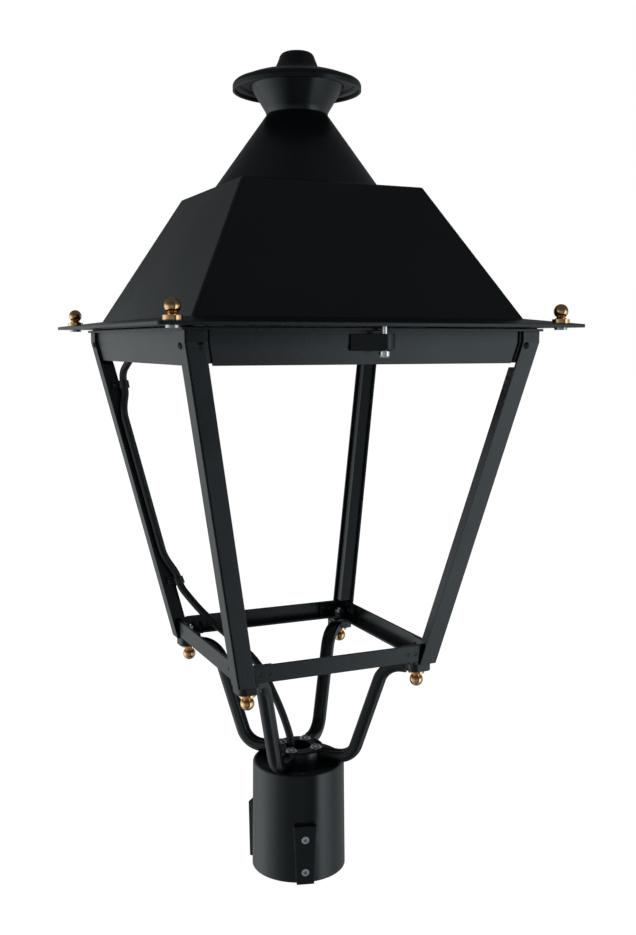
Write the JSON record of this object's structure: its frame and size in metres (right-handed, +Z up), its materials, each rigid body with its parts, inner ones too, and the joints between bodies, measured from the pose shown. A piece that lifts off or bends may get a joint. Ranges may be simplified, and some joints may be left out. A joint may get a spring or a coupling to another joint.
{
  "type": "post top lantern",
  "caption": "Four-sided tapered post top lantern with an open frame, hinged hip roof, chimney vent, ball finials, a curved-arm yoke and a post sleeve.",
  "frame": {"origin": "centre of the open lower end of the post sleeve, where the lantern stands over its post", "axes": "+Z up along the post, -Y towards the front with the roof's lock, +Y towards the roof hinges"},
  "size_m": [0.41, 0.41, 0.8443],
  "materials": {
    "bare_aluminium": "satin",
    "black_paint": "satin powder coat",
    "black_screw": "satin",
    "board_white": "satin",
    "brass": "polished",
    "cable_sheath": "matt",
    "dark_plastic": "matt",
    "driver_case": "satin",
    "gasket_rubber": "matt",
    "grey_plastic": "matt",
    "lens_clear": "gloss",
    "steel": "satin"
  },
  "bodies": {
    "frame": {"apron_back": "black_paint", "apron_front": "black_paint", "apron_left": "black_paint", "apron_right": "black_paint", "cable_clips": "dark_plastic", "cable_connector": "dark_plastic", "cable_gland": "dark_plastic", "clip_screws": "black_screw", "corner_brackets": "black_paint", "foot_brackets": "black_paint", "foot_finial_studs": "steel", "foot_finials": "brass", "hinge_frame_leaves": "black_paint", "hinge_pins": "steel", "hub_screws": "steel", "latch_lug": "black_paint", "leg_back_left": "black_paint", "leg_back_right": "black_paint", "leg_front_left": "black_paint", "leg_front_right": "black_paint", "leg_screws": "black_screw", "mains_socket": "dark_plastic", "post_sleeve": "black_paint", "rail_back": "black_paint", "rail_front": "black_paint", "rail_left": "black_paint", "rail_right": "black_paint", "rail_screws": "black_screw", "roof_gasket": "gasket_rubber", "supply_cable": "cable_sheath", "yoke_arm_back_left": "black_paint", "yoke_arm_back_right": "black_paint", "yoke_arm_front_left": "black_paint", "yoke_arm_front_right": "black_paint", "yoke_hub": "black_paint"},
    "roof": {"roof_canopy": "black_paint", "chimney_cone": "black_paint", "chimney_funnel": "black_paint", "rain_cap": "black_paint", "chimney_tie_rod": "steel", "roof_finials": "brass", "roof_finial_screws": "steel", "hinge_roof_eyes": "black_paint", "gear_tray": "bare_aluminium", "gear_tray_screws": "steel", "heat_sink": "bare_aluminium", "led_board": "board_white", "lens_array": "lens_clear", "lens_bezel": "grey_plastic", "led_driver": "driver_case", "surge_protector": "grey_plastic", "terminal_block": "dark_plastic", "mains_plug": "dark_plastic"},
    "lock": {"lock_screw": "steel"},
    "clamp_screw_1_high": {"clamp_screw_1_high": "steel"},
    "clamp_screw_1_low": {"clamp_screw_1_low": "steel"},
    "clamp_screw_2_high": {"clamp_screw_2_high": "steel"},
    "clamp_screw_2_low": {"clamp_screw_2_low": "steel"},
    "clamp_screw_3_high": {"clamp_screw_3_high": "steel"},
    "clamp_screw_3_low": {"clamp_screw_3_low": "steel"}
  },
  "joints": [
    {"name": "roof_hinge", "type": "hinge", "parent": "frame", "child": "roof", "pos_m": [0, 0.184, 0.566], "axis": [-1, 0, 0], "range_deg": [0, 100]},
    {"name": "lock_travel", "type": "slide", "parent": "frame", "child": "lock", "axis": [0, 0, -1], "range_m": [0, 0.012]},
    {"name": "clamp_screw_1_high_travel", "type": "slide", "parent": "frame", "child": "clamp_screw_1_high", "axis": [0.2672, 0.9636, 0], "range_m": [0, 0.006]},
    {"name": "clamp_screw_1_low_travel", "type": "slide", "parent": "frame", "child": "clamp_screw_1_low", "axis": [0.2672, 0.9636, 0], "range_m": [0, 0.006]},
    {"name": "clamp_screw_2_high_travel", "type": "slide", "parent": "frame", "child": "clamp_screw_2_high", "axis": [-0.9681, -0.2504, 0], "range_m": [0, 0.006]},
    {"name": "clamp_screw_2_low_travel", "type": "slide", "parent": "frame", "child": "clamp_screw_2_low", "axis": [-0.9681, -0.2504, 0], "range_m": [0, 0.006]},
    {"name": "clamp_screw_3_high_travel", "type": "slide", "parent": "frame", "child": "clamp_screw_3_high", "axis": [0.7009, -0.7133, 0], "range_m": [0, 0.006]},
    {"name": "clamp_screw_3_low_travel", "type": "slide", "parent": "frame", "child": "clamp_screw_3_low", "axis": [0.7009, -0.7133, 0], "range_m": [0, 0.006]}
  ]
}
